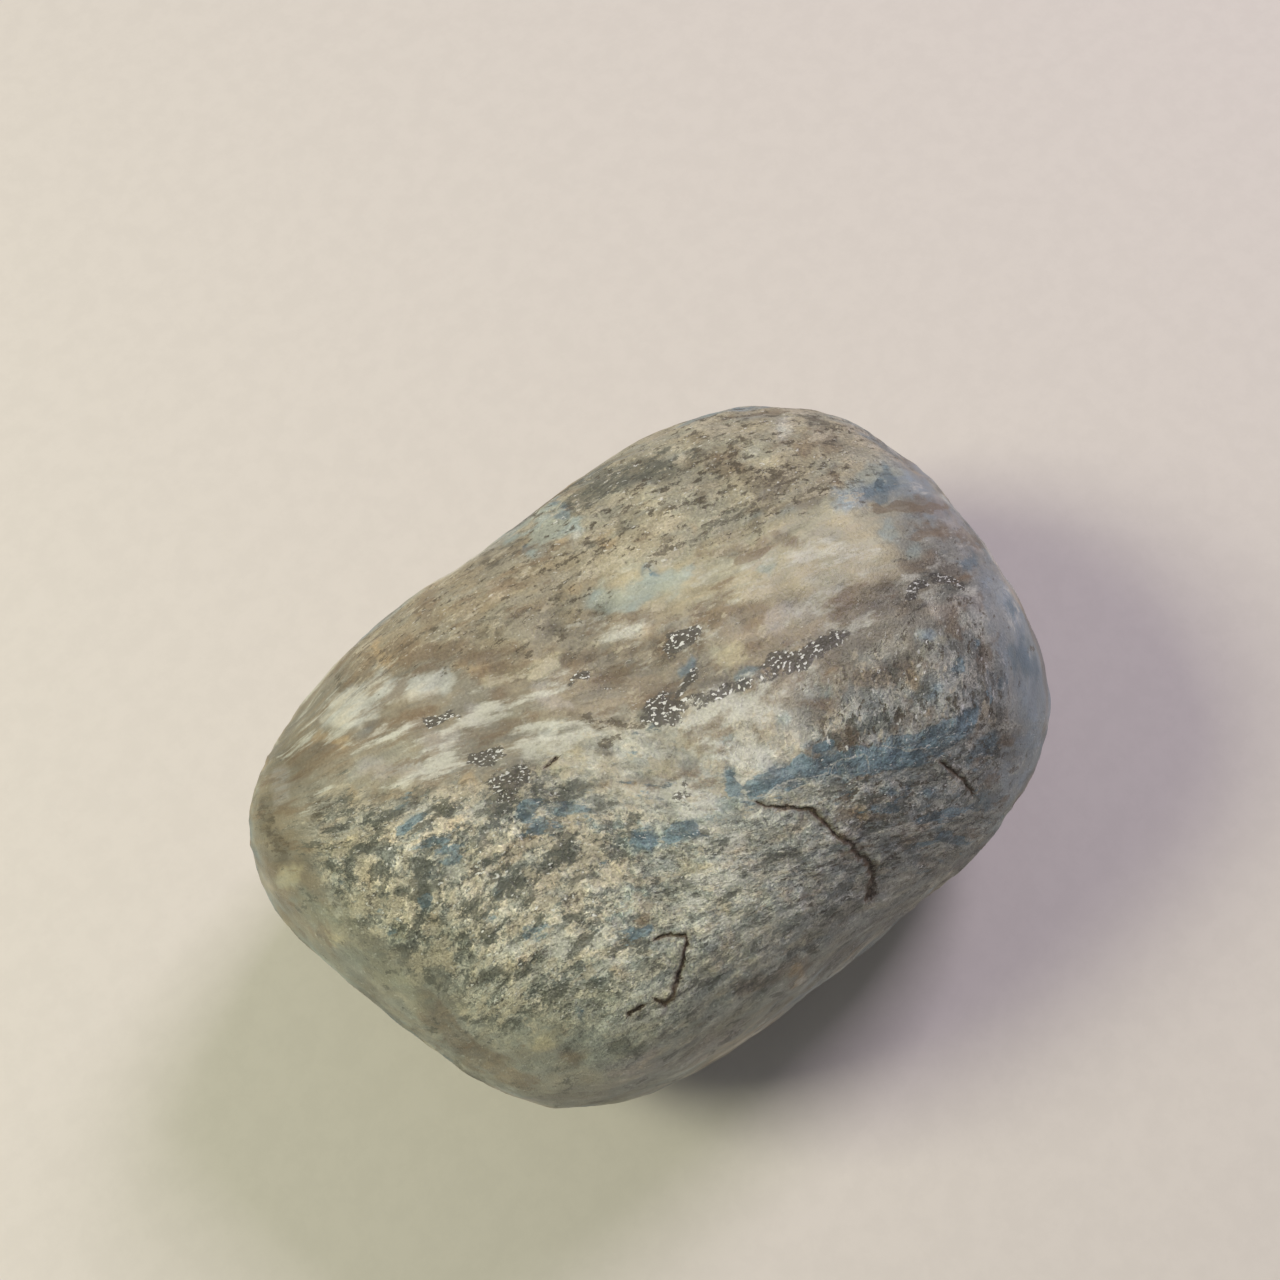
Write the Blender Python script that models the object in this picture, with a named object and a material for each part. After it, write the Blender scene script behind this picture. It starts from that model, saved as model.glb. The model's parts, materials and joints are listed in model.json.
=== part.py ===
"""Rough jadeite: one water-worn block of rock, rounded on every edge, lying on a small flat spot.

Metres, +Z up. X runs along the stone, from its west end to its east end, and Y across it, to the north.
The origin is on the table, under the middle of the stone.

The block is modelled as a few flat faces that wear has rounded into each other. Each face has a direction
and a distance from the heart of the stone, and a high power joins them in one smooth surface. Swells and
hollows that are too shallow to be faces are added to it, and the rest spot is cut flat.
"""

import math

import bmesh
import bpy
from mathutils import Vector

MM = 0.001

STONE_NAME = "jadeite_stone"
CELLS_PER_SIDE = 28

# How sharp the edges between the faces stay: 2 gives an egg, 30 a block.
EDGE_SHARPNESS = 6.5

# Each face: its name, azimuth and elevation in degrees, and distance from the heart.
WORN_FACES = (
    ("east end", -10, 2, 26.2 * MM),
    ("north-east corner", 42, 4, 23.8 * MM),
    ("north side", 97, 5, 15.8 * MM),
    ("north-west corner", 123, 3, 22.5 * MM),
    ("west end", 192, 2, 22.0 * MM),
    ("south-west corner", 246, -2, 19.8 * MM),
    ("south side", 273, -3, 16.5 * MM),
    ("south-east corner", 316, 0, 27.7 * MM),
    ("top", 110, 86, 13.8 * MM),
    ("north shoulder", 78, 48, 17.2 * MM),
    ("east shoulder", 350, 42, 21.8 * MM),
    ("south shoulder", 280, 42, 17.4 * MM),
    ("west shoulder", 200, 42, 21.2 * MM),
    ("underside", 0, -90, 13.0 * MM),
    ("north foot", 85, -48, 16.2 * MM),
    ("east foot", 5, -42, 21.0 * MM),
    ("south foot", 275, -46, 16.4 * MM),
    ("west foot", 195, -44, 19.6 * MM),
)

# Each swell, or hollow where the height is below zero: its name, azimuth and elevation in degrees, its
# height, and how many degrees it spreads to each side.
SWELLS = (
    ("waist of the north side", 94, 28, -0.2 * MM, 12),
    ("swell west of the waist", 125, 22, 0.45 * MM, 11),
    ("flat of the west end", 188, -8, -0.5 * MM, 10),
    ("hollow low on the south side", 284, -26, -0.2 * MM, 11),
    ("swell of the south-east corner", 310, -20, 1.0 * MM, 13),
    ("dish in the west half of the top", 205, 64, -0.3 * MM, 14),
    ("swell of the east half of the top", 15, 58, 0.3 * MM, 15),
    ("rise above the south shoulder", 262, 52, 0.2 * MM, 9),
    ("scoop under the north side", 70, -46, -0.5 * MM, 13),
    ("lump under the west end", 165, -42, 0.4 * MM, 12),
    ("scoop under the east end", 5, -48, -0.4 * MM, 12),
    ("belly under the middle", 0, -86, 0.6 * MM, 26),
)

# The rest spot is cut this far above the lowest point of the belly.
REST_CUT = 0.3 * MM

STONE_GREY = (0.29, 0.28, 0.24, 1.0)
STONE_ROUGHNESS = 0.5


def direction(azimuth, elevation):
    """The unit vector at these angles, in degrees."""
    a, e = math.radians(azimuth), math.radians(elevation)
    return Vector((math.cos(a) * math.cos(e), math.sin(a) * math.cos(e), math.sin(e)))


def reach(ray, faces, swells):
    """How far the stone's surface is from its heart along a unit vector."""
    total = 0.0
    for normal, distance in faces:
        total += max(0.0, ray.dot(normal) / distance) ** EDGE_SHARPNESS
    radius = total ** (-1.0 / EDGE_SHARPNESS)
    for centre, height, spread in swells:
        apart = math.degrees(ray.angle(centre)) / spread
        radius += height * math.exp(-0.5 * apart * apart)
    return radius


def shape_surface(mesh):
    """Moves the points of a cube's grid out to the surface of the stone."""
    faces = [(direction(az, el), distance) for _, az, el, distance in WORN_FACES]
    swells = [(direction(az, el), height, spread) for _, az, el, height, spread in SWELLS]
    for vert in mesh.verts:
        # The tangent makes the grid's cells nearly equal once they are on the round stone.
        even = Vector([math.tan(c * math.pi / 4) for c in vert.co])
        ray = even.normalized()
        vert.co = ray * reach(ray, faces, swells)


def cut_rest_spot(mesh):
    """Cuts the lowest part of the belly off flat and puts the cut at z = 0."""
    floor = min(vert.co.z for vert in mesh.verts) + REST_CUT
    everything = mesh.verts[:] + mesh.edges[:] + mesh.faces[:]
    cut = bmesh.ops.bisect_plane(
        mesh, geom=everything, plane_co=(0, 0, floor), plane_no=(0, 0, 1), clear_inner=True
    )
    rim = [item for item in cut["geom_cut"] if isinstance(item, bmesh.types.BMEdge)]
    bmesh.ops.contextual_create(mesh, geom=rim)
    bmesh.ops.translate(mesh, verts=mesh.verts, vec=(0, 0, -floor))


def centre_over_origin(mesh):
    """Puts the middle of the stone's length and width over the origin."""
    xs = [vert.co.x for vert in mesh.verts]
    ys = [vert.co.y for vert in mesh.verts]
    middle = Vector(((min(xs) + max(xs)) / 2, (min(ys) + max(ys)) / 2, 0))
    bmesh.ops.translate(mesh, verts=mesh.verts, vec=-middle)


def stone_material():
    material = bpy.data.materials.new("jadeite")
    material.use_nodes = True
    shader = material.node_tree.nodes["Principled BSDF"]
    shader.inputs["Base Color"].default_value = STONE_GREY
    shader.inputs["Roughness"].default_value = STONE_ROUGHNESS
    shader.inputs["Metallic"].default_value = 0.0
    return material


def build_stone():
    mesh = bmesh.new()
    bmesh.ops.create_cube(mesh, size=2.0)
    bmesh.ops.subdivide_edges(mesh, edges=mesh.edges, cuts=CELLS_PER_SIDE - 1, use_grid_fill=True)
    shape_surface(mesh)
    cut_rest_spot(mesh)
    centre_over_origin(mesh)
    bmesh.ops.recalc_face_normals(mesh, faces=mesh.faces)
    data = bpy.data.meshes.new(STONE_NAME)
    mesh.to_mesh(data)
    mesh.free()
    data.shade_smooth()
    data.materials.append(stone_material())
    stone = bpy.data.objects.new(STONE_NAME, data)
    bpy.context.scene.collection.objects.link(stone)
    return stone


def main():
    for leftover in list(bpy.data.objects):
        bpy.data.objects.remove(leftover)
    build_stone()


main()
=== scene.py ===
"""The looks of the rough jadeite stone: its fine relief, its minerals and cracks, and the table it lies on.

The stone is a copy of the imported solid, made finer, with the lumps, bands, grain and cracks raised on it.
Its zones, patches and minerals are named strokes in the photograph's pixels, and a surface point finds its
pixel through the photograph's camera. Streaks and lumps follow the bent sheets of the rock. The camera looks
along those sheets, so the zones of the top run through to the underside.
"""

import json
import math

import bpy
import numpy as np
from bpy.props import FloatProperty, FloatVectorProperty, PointerProperty
from mathutils import Matrix, Vector, noise

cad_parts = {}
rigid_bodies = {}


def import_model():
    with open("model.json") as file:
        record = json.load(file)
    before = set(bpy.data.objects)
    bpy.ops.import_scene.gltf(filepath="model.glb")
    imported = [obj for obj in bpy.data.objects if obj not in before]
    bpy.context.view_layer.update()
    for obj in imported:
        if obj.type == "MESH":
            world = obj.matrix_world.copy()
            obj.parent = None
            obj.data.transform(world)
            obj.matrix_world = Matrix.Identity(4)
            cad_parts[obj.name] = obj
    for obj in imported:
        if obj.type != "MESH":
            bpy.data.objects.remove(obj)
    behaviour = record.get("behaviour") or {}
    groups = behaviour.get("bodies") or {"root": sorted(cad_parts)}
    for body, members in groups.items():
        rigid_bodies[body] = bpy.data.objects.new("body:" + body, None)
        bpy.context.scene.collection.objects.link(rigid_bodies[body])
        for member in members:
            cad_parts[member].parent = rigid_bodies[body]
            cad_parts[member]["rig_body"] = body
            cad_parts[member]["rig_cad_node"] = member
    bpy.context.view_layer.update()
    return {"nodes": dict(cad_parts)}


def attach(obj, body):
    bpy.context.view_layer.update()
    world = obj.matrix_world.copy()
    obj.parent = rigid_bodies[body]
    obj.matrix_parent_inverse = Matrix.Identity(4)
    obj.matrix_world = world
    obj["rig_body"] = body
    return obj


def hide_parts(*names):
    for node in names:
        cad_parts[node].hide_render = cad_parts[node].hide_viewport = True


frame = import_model()

bl_info = {
    "name": "Rough jadeite stone",
    "version": (1, 0, 0),
    "blender": (4, 5, 0),
    "location": "3D View > Sidebar > Jadeite",
    "description": "Gives the packed stone its relief, minerals and cracks, and sets the table and lights",
    "category": "Object",
}

MM = 0.001
NODE = "jadeite_stone"

# The photograph and its camera: the side of the square picture in pixels, the focal length in pixels, the
# direction that the camera looks from, its roll, and its place over the table.
PICTURE = 1280
FOCAL = 1600
SENSOR = 36
CAMERA_AZIMUTH = -34
CAMERA_ELEVATION = 67.5
CAMERA_ROLL = 4.2
CAMERA_PLACE = (-17.04 * MM, -24.02 * MM, 101.53 * MM)
PIXELS_PER_MM = 17.5

# The sheets of the rock bend over the stone. Each curve gives the heights of one sheet in the photograph, at
# the stations, and its level is its height in the middle. Levels count the sheets across the stone.
FLOW_STATIONS = (250, 400, 550, 700, 850, 1000)
FLOW_CURVES = {
    "north rim": (455, (770, 590, 490, 422, 405, 470)),
    "foot of the beige": (583, (790, 655, 603, 565, 495, 500)),
    "milk": (650, (805, 720, 680, 620, 562, 540)),
    "mica": (712, (820, 764, 722, 697, 635, 585)),
    "heart": (760, (845, 800, 752, 775, 762, 712)),
    "upper grain": (812, (870, 850, 800, 828, 798, 762)),
    "lower grain": (856, (900, 925, 850, 862, 838, 800)),
    "slope": (934, (960, 1040, 948, 920, 868, 840)),
    "foot": (1065, (1010, 1110, 1095, 1035, 945, 880)),
}
FLOW_SMOOTHING = (-60, -30, 0, 30, 60)

# A surface counts as seen where it faces the photograph's camera by more than these two cosines.
SEEN_FROM, SEEN_FULLY = 0.06, 0.26

# Soft zones of the rock. Each has a centre stroke of (x, y, half width) in the photograph's pixels.
ZONES = {
    "beige": ((600, 520, 30), (660, 500, 50), (720, 480, 52), (800, 460, 40)),
    "cream": ((640, 590, 16), (720, 575, 26), (800, 555, 40), (860, 540, 36)),
    "tan": ((380, 640, 20), (440, 620, 34), (500, 600, 40), (560, 610, 36)),
    "milky": ((300, 730, 30), (360, 700, 30), (440, 690, 22), (400, 760, 30), (470, 745, 30),
              (560, 720, 24)),
    "banded": ((560, 680, 30), (640, 660, 34), (720, 640, 30), (820, 625, 26), (880, 610, 20)),
    "pale": ((580, 760, 16), (640, 765, 28), (700, 760, 30), (740, 760, 24), (700, 815, 16)),
    "granular": ((390, 850, 40), (450, 880, 66), (530, 850, 66), (590, 880, 50), (520, 960, 50)),
    "green": ((700, 870, 40), (770, 890, 56), (700, 960, 56), (620, 1010, 40), (820, 850, 34)),
    "grey": ((850, 860, 30), (920, 810, 46), (960, 740, 44), (900, 700, 36), (960, 660, 34)),
    "east": ((900, 640, 24), (950, 600, 24), (940, 545, 20)),
    "smooth": ((320, 940, 14), (400, 1000, 18), (480, 1060, 22), (580, 1080, 24), (700, 1045, 22),
               (790, 985, 14)),
    # Painted reflection: the rim zone's blue-grey stands in for the sheen of the light on the smooth east
    # rim.
    "rim": ((930, 500, 12), (985, 570, 14), (1028, 650, 18), (1040, 730, 14), (1015, 810, 12)),
    "edge": ((960, 865, 12), (900, 915, 14), (840, 950, 14)),
    "west": ((262, 780, 16), (272, 860, 24), (296, 900, 20)),
}

# What each zone is made of: its ground colour, how strong its streaks, its salt and pepper, its crystals and
# its white wisps are, and what share of it each mineral covers.
ZONE_MIX = {
    "beige": ("beige", 0.05, 0.8, 0.1, 0.0, {"umber": 0.1, "cream": 0.2, "rust": 0.03}),
    "cream": ("honey", 0.15, 0.15, 0.0, 0.15, {"white": 0.08, "cream": 0.04}),
    "tan": ("tan", 0.12, 0.5, 0.05, 0.0, {"umber": 0.06, "cream": 0.1, "rust": 0.1}),
    "milky": ("milky", 0.25, 0.12, 0.0, 0.1, {"white": 0.14, "rust": 0.06}),
    "banded": ("banded", 0.5, 0.35, 0.05, 0.1, {"white": 0.1, "cream": 0.06, "rust": 0.16, "mica": 0.015}),
    "pale": ("pale", 0.25, 0.45, 0.3, 0.5, {"white": 0.3, "cream": 0.2, "rust": 0.06, "slate": 0.04}),
    "granular": ("granite", 0.1, 0.75, 1.0, 0.2, {"white": 0.08, "cream": 0.28, "moss": 0.22, "slate": 0.06,
                                                  "mica": 0.04}),
    "green": ("green", 0.1, 0.9, 0.6, 0.7, {"white": 0.07, "cream": 0.08, "moss": 0.12, "mica": 0.01}),
    "grey": ("grey", 0.15, 0.95, 0.7, 1.0, {"white": 0.06, "cream": 0.06, "umber": 0.13, "slate": 0.08,
                                            "rust": 0.1,
                                           "moss": 0.12, "mica": 0.03}),
    "east": ("east", 0.3, 0.5, 0.2, 0.4, {"white": 0.14, "umber": 0.05, "rust": 0.12, "mica": 0.02}),
    "smooth": ("smooth", 0.4, 0.25, 0.1, 0.1, {"moss": 0.06, "rust": 0.03}),
    # Painted reflection: the rim's blue-grey ground is the sheen of the light on the smooth east rim.
    "rim": ("rim", 0.2, 0.12, 0.0, 0.2, {"white": 0.03}),
    "edge": ("edge", 0.4, 0.5, 0.2, 0.4, {"moss": 0.08, "white": 0.05}),
    "west": ("west", 0.2, 0.12, 0.0, 0.0, {"rust": 0.08, "moss": 0.03}),
}
ZONE_SOFTNESS = 30

# Soft patches of colour in the ground, in the order in which they are laid. Each is named and is one or more
# strokes through points (x, y, half width) in the photograph's pixels.
PATCHES = {
    "umber": {
        "west heart": (((318, 795, 9), (316, 818, 9)),),
        "west streak": (((264, 800, 4), (270, 826, 8), (279, 848, 10), (270, 872, 5)),),
        "olive band of the east": (((832, 612, 10), (860, 602, 14), (892, 600, 12)),
                                   ((850, 628, 8), (868, 622, 6))),
        "north cluster": (((745, 473, 8), (765, 485, 14), (786, 477, 10)),
                          ((770, 496, 8),), ((690, 456, 7),)),
        "border of the beige": (((770, 515, 5), (802, 502, 6), (824, 488, 5), (836, 476, 5)),),
        "north edge": (((812, 424, 4), (832, 426, 4)), ((700, 442, 7), (714, 438, 6))),
        "north spots": (((664, 506, 5),), ((700, 500, 5),), ((760, 526, 4),), ((666, 548, 6),),
                        ((682, 553, 5),),
                        ((640, 534, 6),), ((618, 520, 6),), ((635, 512, 6),), ((491, 562, 7),)),
        "tan spots": (((560, 636, 9),), ((526, 650, 6),), ((498, 642, 6),), ((478, 634, 5),),
                      ((340, 680, 9),)),
        "under the milk": (((575, 714, 5), (592, 721, 5), (640, 726, 4)), ((604, 747, 7), (622, 735, 6))),
        "upper mica bed": (((664, 648, 10), (692, 640, 12)), ((688, 700, 9), (722, 683, 6))),
        "slope spots": (((806, 935, 5),), ((812, 948, 7),), ((885, 816, 6),), ((958, 702, 7),)),
        "earth of the east": (((1002, 735, 15), (990, 700, 12)), ((985, 650, 10),)),
    },
    "rust": {
        "west band": (((296, 757, 13), (338, 748, 12), (372, 733, 6), (412, 720, 7), (434, 714, 4)),),
        "west patch": (((316, 770, 12), (346, 764, 10)), ((330, 830, 6),), ((302, 776, 7),)),
        "by the orange": (((404, 652, 13),), ((364, 668, 13), (348, 676, 8)),
                          ((425, 604, 12), (432, 620, 8))),
        "under the cream line": (((572, 664, 11), (592, 655, 8)), ((495, 697, 6),), ((530, 715, 5),)),
        "lines of the west": (((470, 738, 3), (515, 729, 5)), ((378, 799, 6), (408, 796, 7), (436, 782, 7))),
        "north of the mica": (((698, 620, 9), (742, 614, 10), (760, 611, 7)), ((668, 640, 8),)),
        "north red": (((712, 463, 8), (736, 467, 6)), ((806, 443, 8),), ((836, 474, 6),), ((828, 446, 16),)),
        "north-east line": (((700, 549, 4), (742, 553, 4), (768, 541, 4), (796, 545, 3)),),
        "east lines": (((908, 505, 4), (942, 508, 5)), ((922, 527, 8), (945, 532, 6))),
        "halo of the arc": (((908, 570, 8), (938, 564, 8), (966, 576, 8)), ((972, 600, 8),)),
        "east band": (((858, 681, 7), (888, 680, 7), (906, 667, 8)), ((820, 712, 14),), ((762, 730, 12),)),
        "middle": (((640, 788, 5), (662, 784, 5), (682, 772, 5), (697, 772, 5)),
                   ((632, 934, 9), (642, 920, 6))),
        "slope": (((802, 962, 8), (772, 976, 7), (742, 990, 6)),
                  ((800, 982, 9),), ((920, 830, 10), (904, 842, 8)),
                  ((930, 862, 9),)),
        "south-west": (((450, 968, 10),), ((330, 940, 8), (318, 930, 7)),
                       ((570, 1060, 8),), ((568, 1036, 5),)),
        "tan strip": (((420, 1002, 8), (458, 1040, 10), (500, 1070, 11), (530, 1082, 8)),),
        "tail of the grain": (((505, 866, 6), (522, 842, 8), (545, 826, 5)),),
    },
    "orange": {
        "west": (((378, 646, 6), (386, 662, 8)), ((463, 668, 5), (482, 674, 6)),
                 ((318, 737, 5), (345, 738, 4))),
        "south-west": (((352, 794, 6),), ((430, 920, 6),), ((470, 780, 6),), ((575, 822, 4),),
                       ((620, 974, 7),)),
        "north-west": (((606, 536, 9),), ((563, 538, 5),), ((690, 532, 4),), ((572, 592, 7),)),
        "east": (((910, 680, 8),), ((860, 812, 9),), ((796, 974, 7),), ((830, 673, 4),), ((930, 714, 5),)),
        "middle": (((692, 742, 5), (706, 762, 5)), ((600, 780, 4), (640, 786, 4)), ((730, 910, 6),)),
    },
    "honey": {
        "cream line": (((488, 681, 5), (530, 676, 5), (556, 661, 3)),),
        "north-east glow": (((812, 576, 14), (832, 566, 13), (850, 558, 8)),
                            ((820, 512, 12), (862, 522, 15))),
        "by the mica": (((718, 660, 9), (746, 653, 9)), ((735, 645, 6),), ((926, 652, 8), (931, 638, 6))),
        "west": (((288, 872, 11), (284, 888, 8)), ((340, 846, 9), (346, 834, 7)), ((340, 940, 6),)),
        "middle": (((652, 770, 8), (672, 762, 10)), ((556, 766, 7), (580, 760, 7)), ((612, 790, 8),)),
        "north": (((650, 492, 8),), ((750, 448, 10), (772, 456, 8)), ((670, 520, 9), (705, 526, 8))),
        "south": (((686, 866, 8), (702, 870, 6)), ((640, 882, 8), (618, 876, 6)), ((540, 1040, 9),)),
    },
    "peach": {
        "grains": (((545, 888, 12), (538, 904, 8)), ((582, 860, 7), (574, 905, 7), (570, 926, 5)),
                   ((590, 876, 6),),
                   ((362, 865, 9), (368, 884, 7)), ((400, 895, 7),), ((386, 835, 6),), ((430, 838, 11),),
                   ((440, 800, 11), (470, 794, 8)), ((460, 816, 11),), ((474, 892, 6),), ((530, 942, 6),),
                   ((515, 929, 5),), ((520, 962, 6),), ((500, 752, 8),), ((570, 812, 9),), ((632, 860, 5),)),
        "flare": (((730, 850, 5), (744, 842, 5)), ((765, 917, 5),), ((802, 820, 10),), ((788, 890, 4),)),
        "pinks": (((500, 590, 11),), ((724, 941, 8),), ((645, 636, 8), (628, 634, 12)), ((740, 550, 5),)),
    },
    "lilac": {
        "west": (((280, 795, 10), (276, 772, 8)), ((366, 770, 8), (424, 776, 9)),
                 ((430, 742, 10), (456, 738, 8))),
        "middle": (((480, 716, 8),), ((545, 692, 10), (562, 700, 8)), ((775, 620, 12), (792, 610, 9))),
        "east": (((942, 612, 14), (962, 606, 10)), ((870, 743, 7),), ((930, 600, 8),)),
        "rim": (((940, 508, 10), (962, 528, 9)), ((975, 548, 7),), ((785, 430, 12),)),
        "south": (((740, 1030, 9), (700, 1060, 9)), ((655, 1060, 12), (612, 1075, 9)), ((455, 905, 8),)),
    },
    "white": {
        "heart": (((616, 742, 8), (632, 755, 16), (652, 758, 12)), ((602, 790, 6), (622, 780, 7)),
                  ((594, 762, 5),)),
        "lens": (((688, 812, 9), (704, 810, 12), (722, 804, 6)),),
        "band": (((712, 757, 10), (744, 750, 13), (768, 756, 6)),),
        "milk": (((340, 700, 12), (388, 688, 14), (446, 682, 12)), ((330, 718, 10), (366, 716, 9))),
        "north": (((580, 530, 7),), ((785, 428, 8),), ((640, 636, 6),)),
        "ice": (((858, 660, 8), (880, 652, 9), (896, 640, 9)), ((812, 690, 8), (834, 687, 8))),
        "grains": (((500, 962, 5),), ((536, 868, 5),), ((555, 728, 6), (542, 740, 5)), ((600, 850, 4),)),
    },
    "teal": {
        "north-west": (((538, 545, 9), (548, 526, 13), (574, 522, 9)),
                       ((506, 540, 6), (530, 520, 6), (552, 502, 6))),
        "pale band": (((600, 600, 14), (640, 592, 14), (690, 574, 8)), ((765, 565, 6),)),
        "north-east": (((848, 488, 11), (870, 474, 10), (905, 480, 12)), ((890, 530, 9),), ((908, 550, 6),)),
        "east": (((824, 690, 8),), ((920, 632, 5),), ((935, 690, 7),), ((780, 715, 5),), ((725, 736, 7),)),
        "middle": (((618, 822, 6), (632, 848, 9), (690, 826, 8), (740, 800, 8)),
                   ((612, 908, 7), (640, 896, 6))),
    },
    "sage": {
        "south-west": (((300, 905, 10), (322, 914, 9), (350, 914, 7)),
                       ((358, 950, 7), (386, 971, 8), (424, 1010, 7))),
        "south rim": (((432, 1050, 3), (482, 1081, 3)), ((720, 1036, 7), (760, 1000, 5)), ((692, 1024, 8),)),
        "south": (((372, 828, 7),), ((400, 930, 8), (396, 948, 6)), ((540, 960, 8),)),
    },
    "ice": {
        # Painted reflection: the ice strokes of the east rim paint the lavender-blue sheen of the light on
        # that smooth side.
        "rim": (((998, 588, 9), (1020, 632, 15), (1034, 690, 16), (1040, 750, 12), (1028, 806, 9)),),
        "north-east": (((838, 492, 9), (868, 492, 13), (906, 484, 14), (926, 492, 9)),),
        "east": (((940, 690, 6),), ((925, 632, 5),)),
    },
    "blue": {
        "vein": (((757, 786, 8), (776, 774, 10), (800, 770, 12), (846, 764, 14), (886, 758, 14),
                  (916, 756, 8)),
                 ((896, 738, 6), (934, 736, 9), (966, 722, 9)), ((812, 748, 8), (830, 744, 7))),
        "tails": (((930, 790, 7),), ((892, 788, 7),), ((976, 758, 9), (986, 742, 9)), ((945, 835, 6),)),
        "heart": (((636, 828, 9), (645, 842, 11)), ((672, 838, 8), (690, 830, 6)), ((602, 826, 5),)),
        "drop": (((728, 774, 7), (731, 788, 6)),),
        "north-east": (((874, 486, 8), (888, 478, 9)), ((884, 500, 5),), ((562, 507, 7),), ((530, 546, 5),)),
        "navy": (((882, 482, 4), (886, 490, 4)), ((580, 1012, 5),), ((600, 978, 5),), ((650, 571, 4),)),
        "grains": (((416, 819, 7), (406, 830, 5)), ((425, 902, 8),), ((500, 893, 6),), ((524, 812, 8),)),
        "mica": (((686, 670, 6),), ((742, 681, 6), (762, 680, 7)), ((985, 800, 6),)),
        # Painted reflection: these blue spots on the east rim deepen its painted sheen.
        "rim": (((1018, 648, 9), (1028, 668, 11)), ((1012, 606, 8),), ((970, 560, 6),)),
    },
    "moss": {
        "north-west slate": (((574, 502, 8), (599, 487, 13), (640, 472, 14), (664, 470, 12)),),
        "grains": (((560, 855, 12), (540, 870, 7), (524, 886, 7)), ((560, 790, 8), (588, 780, 7)),
                   ((470, 856, 9), (492, 850, 7)), ((500, 802, 9), (520, 800, 7)), ((600, 842, 10),),
                   ((592, 864, 8),), ((490, 930, 10), (470, 940, 9)), ((395, 882, 6),), ((440, 862, 6),)),
        "south": (((772, 860, 6), (790, 850, 5)), ((800, 840, 6),), ((742, 872, 7),), ((620, 1048, 13),)),
        "lenses": (((674, 797, 5), (684, 793, 7)), ((880, 726, 12), (862, 735, 9)),
                   ((650, 715, 12), (664, 702, 11))),
        "arc": (((911, 592, 4), (920, 581, 5), (936, 578, 5), (951, 582, 5), (962, 590, 4)),),
    },
}
PATCH_STRENGTH = {
    "umber": 0.5, "rust": 0.5, "orange": 0.6, "honey": 0.7, "peach": 0.6, "lilac": 0.55, "white": 0.7,
    "teal": 0.65, "sage": 0.6, "ice": 0.8, "blue": 0.75, "moss": 0.6,
}

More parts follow.
